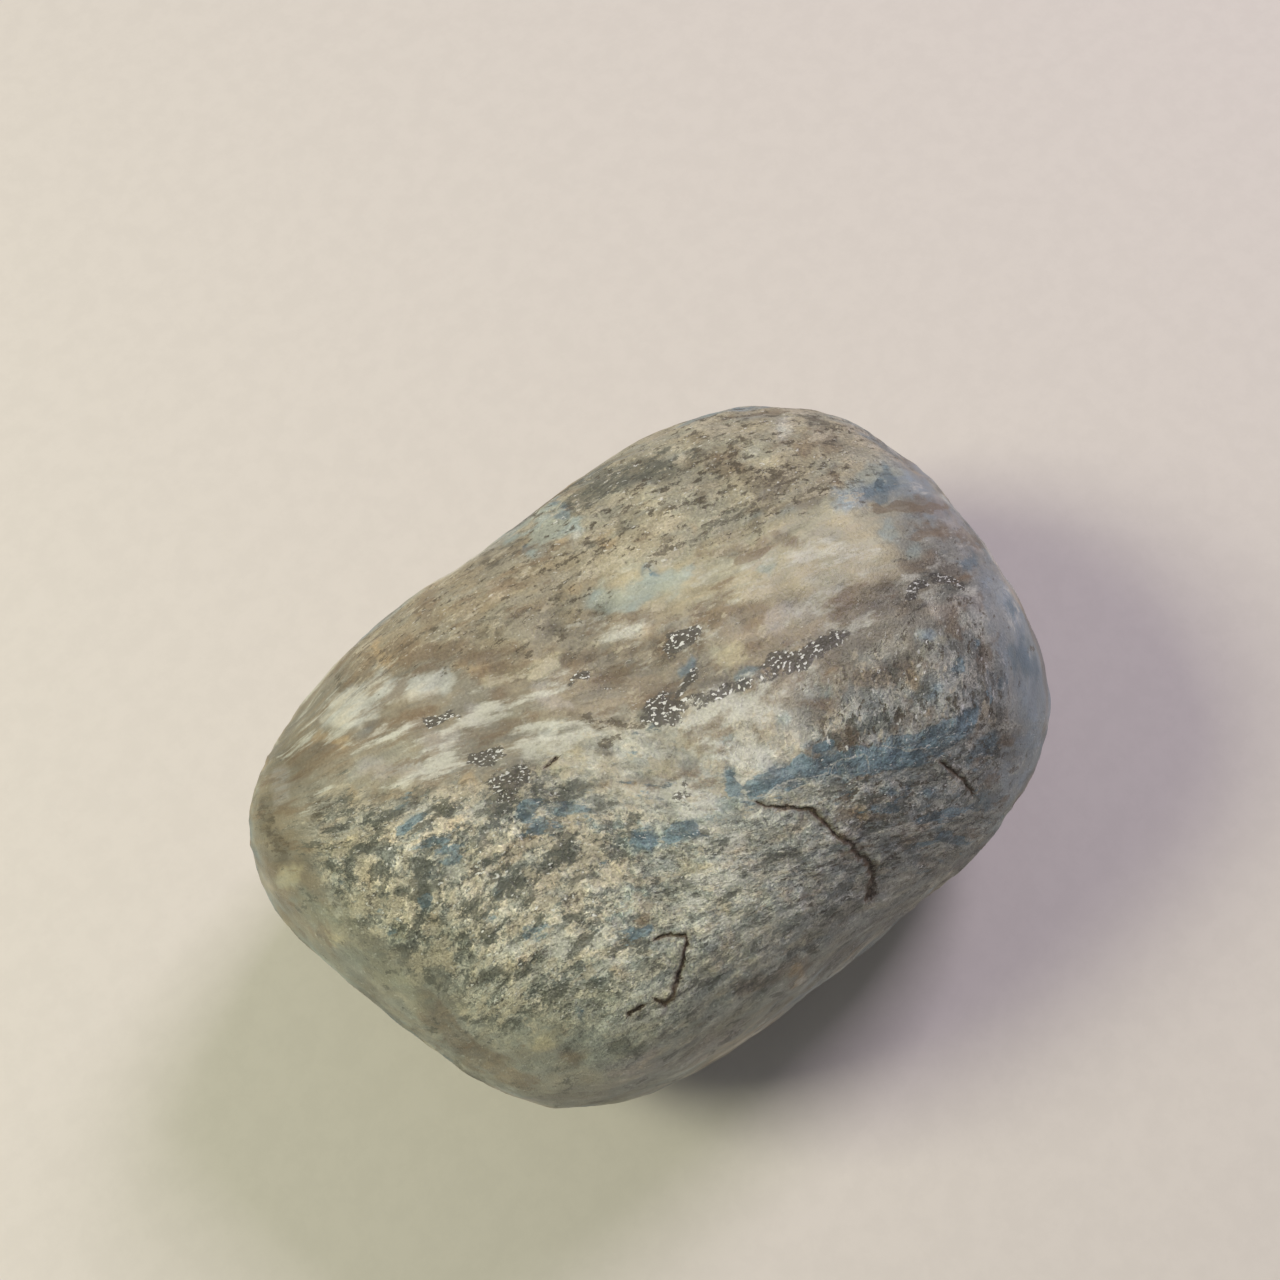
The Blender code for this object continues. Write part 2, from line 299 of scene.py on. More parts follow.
# Minerals that break out of the ground in clumps: strokes as above, with most mineral in their middle.
MINERALS = {
    "white": {
        "heart": (((632, 755, 16), (652, 758, 12)),),
        "band": (((712, 757, 10), (744, 750, 13)),),
        "lens": (((690, 812, 9), (710, 810, 10)),),
        "flare": (((730, 850, 4), (744, 842, 4)), ((680, 908, 6), (700, 902, 5)), ((765, 915, 5),)),
    },
    "cream": {
        "line": (((488, 681, 3), (530, 676, 3), (556, 661, 2)),),
        "grains": (((545, 890, 12),), ((580, 862, 6), (572, 924, 5)),
                   ((364, 870, 8),), ((440, 800, 8), (468, 792, 6))),
        "glow": (((655, 610, 2), (665, 606, 2)), ((715, 487, 3),), ((580, 509, 4),)),
    },
    "rust": {
        "west band": (((300, 755, 8), (340, 748, 7), (372, 733, 4), (420, 716, 4)),),
        "line of the west": (((382, 768, 2), (440, 752, 2), (500, 735, 3), (520, 730, 2)),),
        "line of the north-east": (((735, 560, 2), (765, 548, 2.5), (800, 535, 1.5)),),
        "lines of the east": (((880, 505, 2), (945, 508, 2.5)),
                              ((920, 535, 2.5), (955, 530, 2.5), (985, 550, 3))),
        "middle": (((645, 792, 3), (665, 780, 3), (697, 772, 4)), ((625, 930, 5), (645, 918, 3))),
        "vein": (((800, 703, 3), (830, 706, 2)),),
    },
    "umber": {
        "north cluster": (((700, 455, 3), (735, 462, 4), (765, 484, 10), (790, 478, 8)),
                          ((800, 500, 3), (835, 476, 3))),
        "north spots": (((664, 506, 4),), ((700, 500, 4),), ((647, 563, 4), (665, 547, 4)),
                        ((760, 526, 3),)),
        "west core": (((316, 822, 4), (326, 800, 5)), ((264, 806, 2), (270, 830, 5), (280, 848, 7))),
        "lines of the heart": (((575, 714, 2), (592, 721, 3), (650, 728, 1.5)),
                               ((600, 746, 3), (620, 737, 3))),
        "tan spots": (((560, 636, 6),), ((526, 650, 4),), ((498, 642, 4),), ((338, 682, 5),)),
        "slope": (((806, 935, 4), (812, 948, 4)), ((920, 826, 5),), ((958, 702, 5),), ((900, 712, 5),)),
        "dark dots": (((612, 815, 2.5),), ((620, 820, 2.5),), ((696, 772, 3),), ((1030, 648, 2),),
                      ((1016, 771, 2),)),
    },
    "moss": {
        "north-west": (((576, 502, 6), (600, 487, 10), (640, 473, 12), (690, 450, 6)),),
        "grains": (((560, 856, 12), (526, 884, 7)),
                   ((480, 852, 9),), ((510, 801, 9),), ((600, 845, 8),), ((485, 932, 9),)),
        "south": (((760, 866, 4), (790, 850, 4)), ((800, 840, 4),), ((742, 872, 5),)),
    },
    "slate": {
        "vein": (((755, 788, 7), (776, 775, 11), (800, 770, 12), (846, 764, 16), (886, 757, 16),
                  (916, 752, 9)),),
        "head": (((896, 741, 7), (938, 735, 10), (972, 720, 9)),),
        "tail": (((815, 750, 5), (830, 744, 5)),),
        "drop": (((728, 775, 6), (731, 788, 5)),),
        "heart": (((640, 840, 8), (648, 842, 8)), ((672, 838, 6), (692, 828, 4))),
        "navy": (((882, 480, 2.5), (885, 492, 2.5)), ((651, 572, 3),), ((580, 1012, 4),), ((945, 835, 5),)),
        "grains": (((402, 832, 4), (424, 813, 5)), ((425, 902, 6),), ((524, 812, 6),)),
    },
    "mica": {
        "oval": (((652, 718, 11), (668, 702, 11)),),
        "band": (((660, 716, 9), (690, 702, 9), (735, 683, 7), (775, 668, 11), (815, 652, 9),
                  (845, 632, 6)),),
        "horn": (((675, 700, 6), (690, 680, 8)),),
        "upper": (((668, 650, 7), (690, 640, 9)), ((672, 638, 3), (700, 630, 3))),
        "spot": (((575, 682, 6), (584, 676, 5)),),
        "west": (((430, 720, 4), (455, 716, 4)), ((470, 757, 6), (500, 752, 5)),
                 ((500, 790, 10), (520, 776, 7))),
        "arc": (((912, 594, 2.5), (920, 583, 3), (936, 579, 3), (951, 583, 3), (964, 590, 2)),),
        "lens": (((674, 797, 4), (684, 793, 5)),),
    },
}

# The share of the surface that each mineral covers in the middle of its strokes.
MINERAL_CORE = {"white": 0.8, "cream": 0.85, "rust": 0.7, "umber": 0.5, "moss": 0.62, "slate": 0.97,
                "mica": 0.9}

# Thin lines. Each runs through points (x, y, half width) in the photograph's pixels.
CRACKS = {
    "long crack": ((757, 803, 1.5), (785, 808, 2.5), (809, 809, 2.5), (824, 819, 3), (838, 836, 3),
                   (852, 843, 3.5), (859, 855, 5), (872, 862, 4), (875, 878, 3), (873, 891, 4),
                   (867, 901, 1.5)),
    "hooked crack": ((655, 939, 1.5), (664, 936, 2), (687, 935, 2.5), (687, 947, 2), (681, 970, 2.5),
                     (673, 994, 2.5), (666, 1003, 3), (656, 1000, 1.5)),
    "foot of the hook": ((642, 1007, 2), (630, 1015, 3)),
    "east crack": ((941, 762, 2), (961, 777, 2), (973, 792, 1.5)),
    "short crack": ((545, 767, 1), (558, 758, 1.5)),
}
WHITE_LINES = {
    "under the vein": ((790, 785, 1), (805, 778, 1.5), (830, 773, 1.5), (850, 779, 1.5), (872, 788, 1.5)),
    "over the vein": ((833, 764, 1.5), (845, 760, 2), (862, 756, 1.5)),
    "through the vein": ((866, 758, 1.5), (870, 768, 1)),
    "vein to the head": ((880, 746, 1.5), (900, 750, 1.5), (930, 748, 1.5)),
    "triangle west": ((822, 738, 1), (832, 720, 1.2), (850, 702, 1)),
    "triangle east": ((853, 698, 1.2), (861, 710, 1.5), (861, 722, 1)),
    "blade": ((760, 798, 1), (778, 786, 1.5), (800, 777, 1.5)),
    "second blade": ((775, 793, 1), (790, 785, 1.2)),
}

# The lines' fields reach this many pixels to each side.
LINE_REACH = 9

# The copy of the solid: points closer than this are merged, and its faces are halved this many times.
MERGE_WITHIN = 0.002 * MM
FINER_LEVELS = 2
CRACK_CUTS = 2

# The sizes of the relief's waves, and how far the sheets draw them out. The rest spot is left flat.
LUMP_SIZE, SHEET_SIZE, GRAIN_SIZE = 3.6 * MM, 0.9 * MM, 0.75 * MM
SHEET_STRETCH = (2.4, 1.0, 1.7)
FLAT_NEAR_TABLE = 0.5 * MM

# The sides that the photograph doesn't show get the same patches by noise: the size of their waves, and the
# heights of the noise where a patch starts and is full. Every patch has an edge ragged by smaller waves.
WILD_SIZE = 2.6 * MM
WILD_FROM, WILD_FULLY = 0.22, 0.5
RAGGED_SIZE = 1.1 * MM

# The log odds of a share, times this, is the level that noise of a spread of one passes over that share.
LOG_ODDS_TO_LEVEL = 0.62

# These bring a noise of few or many details to a spread of about one.
GAIN_OF_PLAIN_NOISE, GAIN_OF_FINE_NOISE = 12.0, 16.0

# The crystals: the sizes of the large and small ones, and how far and in what waves their edges are shaken.
CRYSTAL_SIZE, SMALL_CRYSTAL_SIZE = 0.46 * MM, 0.19 * MM
SHAKE_SIZE, SHAKE_REACH = 0.3 * MM, 0.9 * MM

# The stage. A light's place is in degrees round from the right of the picture, degrees up, and metres away,
# and its width is a share of its distance.
TABLE_SIZE = 4
NORTH_LIGHT = (50, 50, 0.5)
WEST_LIGHT = (184, 48, 0.35)
LIGHT_WIDTH = 0.3


def hue(text, description, red, green, blue):
    """A colour property with its name, description and default."""
    return FloatVectorProperty(
        name=text, description=description, default=(red, green, blue), min=0, max=1, size=3, subtype="COLOR"
    )


def length(text, description, default):
    """A length property with its name, description and default."""
    return FloatProperty(
        name=text, description=description, default=default, min=0, subtype="DISTANCE", unit="LENGTH"
    )


class StoneSizes(bpy.types.PropertyGroup):
    """How high the stone's fine relief stands."""

    lump_height: length("Lumps", "Height of the broad worn lumps", 0.16 * MM)
    sheet_height: length("Sheets", "Height of the ribs where harder sheets stand out", 0.07 * MM)
    grain_height: length("Grain", "Height of the grains in the granular zones", 0.16 * MM)
    crack_depth: length("Cracks", "Depth of the open cracks", 0.12 * MM)
    bump_height: length("Bump", "Height of the finest grain, which is left to the finish", 0.06 * MM)


class StoneColours(bpy.types.PropertyGroup):
    """The colours of the stone's ground, patches and minerals."""

    beige: hue("Beige", "Ground of the north side", 0.355, 0.335, 0.255)
    honey: hue("Honey", "Pale ground of the north-east, and the honey-coloured patches", 0.45, 0.425, 0.31)
    tan: hue("Tan", "Ground of the north-west", 0.30, 0.27, 0.20)
    milky: hue("Milky green", "Ground of the west", 0.25, 0.23, 0.18)
    banded: hue("Banded", "Ground between the mica bands", 0.285, 0.255, 0.20)
    pale: hue("Pale", "Ground of the middle", 0.46, 0.465, 0.41)
    granite: hue("Granite", "Ground of the granular south-west", 0.42, 0.42, 0.375)
    green: hue("Grey green", "Ground of the south", 0.43, 0.45, 0.40)
    grey: hue("Grey brown", "Ground of the east", 0.31, 0.33, 0.32)
    east: hue("Olive brown", "Ground of the dark bands of the east", 0.235, 0.225, 0.185)
    smooth: hue("Smooth grey", "Ground of the south-west foot", 0.29, 0.295, 0.25)
    # Painted reflection: the blue rim colour stands in for the sheen of the light on the smooth, steep east
    # rim.
    rim: hue("Blue rim", "Ground of the worn east rim", 0.265, 0.31, 0.335)
    edge: hue("Dark edge", "Ground of the south-east edge", 0.24, 0.245, 0.22)
    west: hue("West rim", "Ground of the worn west rim", 0.24, 0.215, 0.165)
    white: hue("White", "The milky white lenses", 0.60, 0.61, 0.55)
    teal: hue("Teal", "The pale blue-green patches", 0.34, 0.415, 0.40)
    sage: hue("Sage", "The grey-green patches of the foot", 0.26, 0.275, 0.225)
    blue: hue("Blue", "The slate-blue patches", 0.14, 0.205, 0.245)
    # The ice colour is painted reflection where it lies on the east rim, and the rock's own colour in its
    # other patches.
    ice: hue("Ice", "The pale lavender-blue patches", 0.29, 0.35, 0.385)
    lilac: hue("Lilac", "The pale lilac patches", 0.40, 0.38, 0.36)
    peach: hue("Peach", "The peach-coloured grains", 0.50, 0.45, 0.36)
    cream: hue("Cream", "The cream grains", 0.50, 0.46, 0.355)
    orange: hue("Orange", "The orange stains", 0.42, 0.32, 0.19)
    rust: hue("Rust", "The brown iron stains", 0.18, 0.13, 0.08)
    umber: hue("Umber", "The dark brown spots", 0.09, 0.075, 0.05)
    moss: hue("Moss", "The dark grey-green spots", 0.095, 0.102, 0.085)
    slate: hue("Slate", "The slate-blue vein", 0.115, 0.175, 0.21)
    mica: hue("Mica", "The dark mica", 0.08, 0.076, 0.066)
    # Painted light: the glint colour is a near-white that stands in for light reflected by the mica flakes
    # and the crystals.
    painted_glint: hue("Glint", "The bright mica flakes", 0.78, 0.80, 0.78)
    earth: hue("Earth", "The brown earth in the cracks", 0.115, 0.075, 0.042)
    # Painted shade: the crack colour is a near-black that stands in for the shade inside the open cracks.
    crack: hue("Crack", "The open gap of the cracks", 0.028, 0.019, 0.013)


class StageLooks(bpy.types.PropertyGroup):
    """The table, the lights and the sky."""

    table: hue("Table", "The pale table", 0.66, 0.63, 0.61)
    north_light: hue("North light", "The soft light from the picture's upper right", 1.0, 0.87, 0.99)
    west_light: hue("West light", "The soft light from the picture's left", 1.0, 0.99, 0.70)
    sky: hue("Sky", "The light from all round", 1.0, 1.0, 1.0)
    north_power: FloatProperty(
        name="North power", description="Power of the north light", default=1.22, min=0, unit="POWER"
    )
    west_power: FloatProperty(
        name="West power", description="Power of the west light", default=0.8, min=0, unit="POWER"
    )
    sky_strength: FloatProperty(
        name="Sky strength", description="Strength of the light from all round", default=0.17, min=0
    )


def camera_axes():
    """The photograph's camera: the unit vectors to its right, upwards and backwards."""
    a, e, t = (math.radians(x) for x in (CAMERA_AZIMUTH, CAMERA_ELEVATION, CAMERA_ROLL))
    back = Vector((math.sin(a) * math.cos(e), -math.cos(a) * math.cos(e), math.sin(e)))
    right = Vector((math.cos(a), math.sin(a), 0))
    up = back.cross(right)
    return right * math.cos(t) - up * math.sin(t), up * math.cos(t) + right * math.sin(t), back


def deselect_all():
    """Leaves no object selected or active."""
    if bpy.context.mode != "OBJECT":
        bpy.ops.object.mode_set(mode="OBJECT")
    bpy.ops.object.select_all(action="DESELECT")
    bpy.context.view_layer.objects.active = None


def make_active(obj):
    """Selects one object alone."""
    deselect_all()
    obj.select_set(True)
    bpy.context.view_layer.objects.active = obj


def copy_of_solid():
    """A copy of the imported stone, merged to one skin, and four times as fine each way."""
    deselect_all()
    make_active(frame["nodes"][NODE])
    bpy.ops.object.duplicate()
    stone = bpy.context.view_layer.objects.active
    stone.name = "worn_stone"
    stone.data.name = "worn_stone"
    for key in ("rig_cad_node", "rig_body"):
        del stone[key]
    stone.parent = None
    bpy.ops.object.mode_set(mode="EDIT")
    bpy.ops.mesh.select_all(action="SELECT")
    bpy.ops.mesh.remove_doubles(threshold=MERGE_WITHIN)
    bpy.ops.mesh.tris_convert_to_quads()
    bpy.ops.mesh.customdata_custom_splitnormals_clear()
    bpy.ops.object.mode_set(mode="OBJECT")
    bpy.ops.object.shade_smooth()
    finer = stone.modifiers.new("finer", "SUBSURF")
    finer.levels = finer.render_levels = FINER_LEVELS
    bpy.ops.object.modifier_apply(modifier=finer.name)
    return stone


def points_of(stone):
    """The stone's points and their normals, as two arrays."""
    count = len(stone.data.vertices)
    points, normals = np.zeros(count * 3), np.zeros(count * 3)
    stone.data.vertices.foreach_get("co", points)
    stone.data.vertices.foreach_get("normal", normals)
    return points.reshape(-1, 3), normals.reshape(-1, 3)


def smooth_step(value, low, high):
    """0 below low, 1 above high, and a smooth ramp between."""
    t = np.clip((value - low) / (high - low), 0, 1)
    return t * t * (3 - 2 * t)


def waves_at(places, size, stretch=(1, 1, 1), seed=0, octaves=2):
    """Smooth noise at each place, from about -1 to 1, in waves of one size."""
    scaled = places / (size * np.array(stretch)) + 17.3 * seed
    return np.array([noise.fractal(Vector(place), 1.0, 2.0, octaves) for place in scaled])


class View:
    """Where the photograph shows each point of the stone, and how well it sees it."""

    def __init__(self, stone):
        points, normals = points_of(stone)
        right, up, back = (np.array(axis) for axis in camera_axes())
        ray = points - np.array(CAMERA_PLACE)
        self.depth = -ray @ back
        self.x = PICTURE / 2 + FOCAL * (ray @ right) / self.depth
        self.y = PICTURE / 2 - FOCAL * (ray @ up) / self.depth
        facing = -(ray / np.linalg.norm(ray, axis=1)[:, None] * normals).sum(axis=1)
        self.seen = smooth_step(facing, SEEN_FROM, SEEN_FULLY)
        self.points = points

    def wander(self, size, reach, seed):
        """Moves each point's pixel by up to about reach pixels, in waves of that size, so edges wander."""
        offset = Vector((seed * 7.1, seed * 3.7, seed * 5.3))
        shifts = np.array([noise.noise_vector(Vector(p) / size + offset) for p in self.points])
        self.x = self.x + shifts[:, 0] * reach
        self.y = self.y + shifts[:, 1] * reach


def flow_places(view):
    """How far each point lies along, across and down the bent sheets of the rock, in metres."""
    curves = list(FLOW_CURVES.values())
    heights = [
        sum(np.interp(view.x + shift, FLOW_STATIONS, curve) for shift in FLOW_SMOOTHING)
        / len(FLOW_SMOOTHING)
        for _, curve in curves
    ]
    levels = [level for level, _ in curves]
    across = levels[0] + np.minimum(view.y - heights[0], 0) + np.maximum(view.y - heights[-1], 0)
    for upper, lower, first, second in zip(heights, heights[1:], levels, levels[1:]):
        across += np.clip((view.y - upper) / (lower - upper), 0, 1) * (second - first)
    scale = MM / PIXELS_PER_MM
    return np.stack([view.x * scale, across * scale, view.depth], axis=1)


def beside_stroke(view, stroke):
    """For each point: pixels to the stroke's middle line, its half width there, and the side of it."""
    distance = np.full(len(view.x), 1e6)
    width = np.ones(len(view.x))
    side = np.ones(len(view.x))
    ends = zip(stroke, stroke[1:]) if len(stroke) > 1 else ((stroke[0], stroke[0]),)
    for (x0, y0, w0), (x1, y1, w1) in ends:
        dx, dy = x1 - x0, y1 - y0
        t = ((view.x - x0) * dx + (view.y - y0) * dy) / max(dx * dx + dy * dy, 1e-6)
        t = np.clip(t, 0, 1)
        across_x, across_y = view.x - (x0 + t * dx), view.y - (y0 + t * dy)
        apart = np.hypot(across_x, across_y)
        nearer = apart < distance
        distance[nearer] = apart[nearer]
        width[nearer] = (w0 + t * (w1 - w0))[nearer]
        side[nearer] = np.sign(across_x * dy - across_y * dx)[nearer]
    return distance, width, side


def inside_strokes(view, groups):
    """How far each point is inside the strokes of a table: 1 in their middles, and a soft edge down to 0."""
    inside = np.zeros(len(view.x))
    for strokes in groups.values():
        for stroke in strokes:
            distance, width, _ = beside_stroke(view, stroke)
            inside = np.maximum(inside, 1 - smooth_step(distance, 0.35 * width, 1.3 * width + 4))
    return inside * view.seen


def zone_shares(view):
    """How much of each zone a point has: one array for each zone, adding up to one."""
    shares = {}
    for name, stroke in ZONES.items():
        distance, width, _ = beside_stroke(view, stroke)
        shares[name] = np.exp(-np.clip(distance - width, 0, None) / ZONE_SOFTNESS) ** 2 + 1e-9
    total = sum(shares.values())
    return {name: share / total for name, share in shares.items()}


def mineral_fields(view, shares):
    """For each mineral, the level that noise of a spread of one passes over the share that it covers."""
    fields = {}
    for mineral, groups in MINERALS.items():
        covered = sum(share * ZONE_MIX[zone][5].get(mineral, 0.001) for zone, share in shares.items())
        covered += (np.maximum(MINERAL_CORE[mineral], covered) - covered) * inside_strokes(view, groups)
        fields[mineral] = LOG_ODDS_TO_LEVEL * np.log(covered / (1 - covered))
    return fields


def line_field(view, lines):
    """Two arrays: how many half widths a point lies to the left or right of a line, and how near it is."""
    across = np.full(len(view.x), 9.0)
    best = np.full(len(view.x), 1e6)
    for line in lines.values():
        distance, width, side = beside_stroke(view, line)
        nearer = distance < best
        best[nearer] = distance[nearer]
        across[nearer] = (side * distance / width)[nearer]
    near = (1 - smooth_step(best, LINE_REACH * 0.6, LINE_REACH)) * view.seen
    return across, near


def keep(stone, name, values, kind="FLOAT"):
    """Keeps one value, vector or colour for each point as an attribute of the stone."""
    attribute = stone.data.attributes.new(name, kind, "POINT")
    key = {"FLOAT": "value", "FLOAT_VECTOR": "vector", "FLOAT_COLOR": "color"}[kind]
    attribute.data.foreach_set(key, np.asarray(values, np.float32).ravel())


def refine_along_cracks(stone):
    """Cuts the faces beside the cracks into smaller ones, so that the cracks can be open grooves."""
    view = View(stone)
    _, near = line_field(view, CRACKS)
    make_active(stone)
    bpy.ops.object.mode_set(mode="EDIT")
    bpy.ops.mesh.select_mode(type="FACE")
    bpy.ops.mesh.select_all(action="DESELECT")
    bpy.ops.object.mode_set(mode="OBJECT")
    for face in stone.data.polygons:
        face.select = any(near[i] > 0.05 for i in face.vertices)
    bpy.ops.object.mode_set(mode="EDIT")
    bpy.ops.mesh.subdivide(number_cuts=CRACK_CUTS)
    bpy.ops.object.mode_set(mode="OBJECT")


def grains_at(places, size, seed):
    """Rounded grains at each place, from -0.5 in the joints between them to about 1 on the tallest."""
    heights = []
    for place in places / size + 17.3 * seed:
        apart, centres = noise.voronoi(Vector(place))
        dome = min(1.0, (apart[1] - apart[0]) * 1.7)
        heights.append(dome * (0.9 + 0.8 * noise.noise(centres[0] * 3.1)) - 0.5)
    return np.array(heights)


def raise_relief(stone, sizes, flow, crystals, crack, crack_near):
    """Moves the surface in and out by lumps, ribs of harder sheets, grains and open cracks."""
    points, normals = points_of(stone)
    heights = sizes.lump_height * waves_at(points, LUMP_SIZE, seed=1)
    heights += sizes.sheet_height * waves_at(flow, SHEET_SIZE, SHEET_STRETCH, seed=2, octaves=3)
    heights += sizes.grain_height * crystals * grains_at(points, GRAIN_SIZE, 3)
    heights -= sizes.crack_depth * np.exp(-1.5 * crack ** 2) * crack_near
    heights *= smooth_step(points[:, 2], 0.02 * MM, FLAT_NEAR_TABLE)
    stone.data.vertices.foreach_set("co", (points + normals * heights[:, None]).ravel())
    stone.data.update()
    return heights


class Finish:
    """A material's nodes, added and linked by short calls. A value may be a number, a colour or a socket."""

    def __init__(self, name):
        self.material = bpy.data.materials.new(name)
        self.material.use_nodes = True
        self.tree = self.material.node_tree
        self.shader = self.tree.nodes["Principled BSDF"]

    def put(self, socket, value):
        """Links a socket, or sets its value."""
        if isinstance(value, bpy.types.NodeSocket):
            self.tree.links.new(value, socket)
        elif hasattr(value, "__len__") and len(value) == 3 and socket.type == "RGBA":
            socket.default_value = (*value, 1)
        else:
            socket.default_value = value

    def add(self, kind, values, output=0, **settings):
        """Adds a node with settings and input values by name or number, and gives one of its outputs."""
        made = self.tree.nodes.new(kind)
        for name, setting in settings.items():
            setattr(made, name, setting)
        for name, value in values.items():
            self.put(made.inputs[name], value)
        return made.outputs[output]

    def math(self, operation, a, b=0.0, c=0.0):
        """One step of arithmetic on up to three values."""
        return self.add("ShaderNodeMath", {0: a, 1: b, 2: c}, operation=operation)

    def product(self, *values):
        """Several values multiplied together."""
        total = values[0]
        for value in values[1:]:
            total = self.math("MULTIPLY", total, value)
        return total

    def between(self, value, low, high, start=0.0, end=1.0):
        """Runs smoothly from start, where the value is low, to end, where it is high."""
        numbers = {0: value, 1: low, 2: high, 3: start, 4: end}
        return self.add("ShaderNodeMapRange", numbers, interpolation_type="SMOOTHSTEP")

    def mixed(self, share, first, second, blend="MIX"):
        """A colour between two, or one blended over the other."""
        values = {0: share, 6: first, 7: second}
        return self.add("ShaderNodeMix", values, output=2, data_type="RGBA", blend_type=blend)

    def dimmed(self, colour, factor):
        """A colour made darker or lighter by a factor."""
        return self.add("ShaderNodeVectorMath", {0: colour, 3: factor}, operation="SCALE")

    def kept(self, name, output=2):
        """An attribute of the piece: output 0 is its colour, 1 its vector, 2 its value and 3 its alpha."""
        return self.add("ShaderNodeAttribute", {}, output=output, attribute_name=name)

    def stretched(self, place, stretch, turn=0.0):
        """A place in a space drawn out along its axes, after a turn about the third in degrees."""
        numbers = {"Vector": place, "Rotation": (0, 0, math.radians(turn)), "Scale": stretch}
        return self.add("ShaderNodeMapping", numbers, vector_type="TEXTURE")

    def waves(self, place, size, detail, rough=0.7):
        """Three noises with waves of one size in metres, each with a middle of 0 and a spread of about 1."""
        numbers = {"Vector": place, "Scale": 1 / size, "Detail": detail, "Roughness": rough}
        made = self.add("ShaderNodeTexNoise", numbers, output=1)
        gain = GAIN_OF_PLAIN_NOISE if detail <= 2 else GAIN_OF_FINE_NOISE
        numbers = {0: made, 1: (gain, gain, gain), 2: (-gain / 2, -gain / 2, -gain / 2)}
        return self.parts(self.add("ShaderNodeVectorMath", numbers, operation="MULTIPLY_ADD"))

    def cells(self, place, size):
        """Cells of one size in metres: the distance to the middle of the cell, and the cell's own colour."""
        made = self.add("ShaderNodeTexVoronoi", {"Vector": place, "Scale": 1 / size})
        return made, made.node.outputs["Color"]

    def parts(self, vector):
        """The three values of a vector."""
        first = self.add("ShaderNodeSeparateXYZ", {0: vector})
        return first, first.node.outputs[1], first.node.outputs[2]


def crystal_colours(f, ground, place, flow, gather, amount):
    """The ground broken up in crystals with tones of their own, light and dark ones gathered in clumps."""
    shake = f.add("ShaderNodeTexNoise", {"Vector": place, "Scale": 1 / SHAKE_SIZE, "Detail": 2}, output=1)
    shift = {0: shake, 1: (SHAKE_REACH,) * 3, 2: f.stretched(flow, (1.5, 1.0, 1.3), -16)}
    shaken = f.add("ShaderNodeVectorMath", shift, operation="MULTIPLY_ADD")
    big, big_colour = f.cells(shaken, CRYSTAL_SIZE)
    _, small_colour = f.cells(shaken, SMALL_CRYSTAL_SIZE)
    pick = f.math("MULTIPLY", f.parts(big_colour)[0], 0.58)
    pick = f.math("MULTIPLY_ADD", f.parts(small_colour)[1], 0.42, pick)
    pick = f.math("MULTIPLY_ADD", gather, 0.09, pick)
    joint = f.between(big, 0.48, 0.82, 1.0, 0.62)
    tone = f.product(f.between(pick, 0.18, 0.84, 0.46, 1.56), joint)
    tint = f.mixed(f.between(pick, 0.25, 0.75), (0.93, 1.0, 0.99), (1.04, 1.0, 0.93))
    crystal = f.dimmed(f.mixed(1.0, ground, tint, "MULTIPLY"), tone)
    return f.mixed(amount, ground, crystal), f.product(pick, joint)


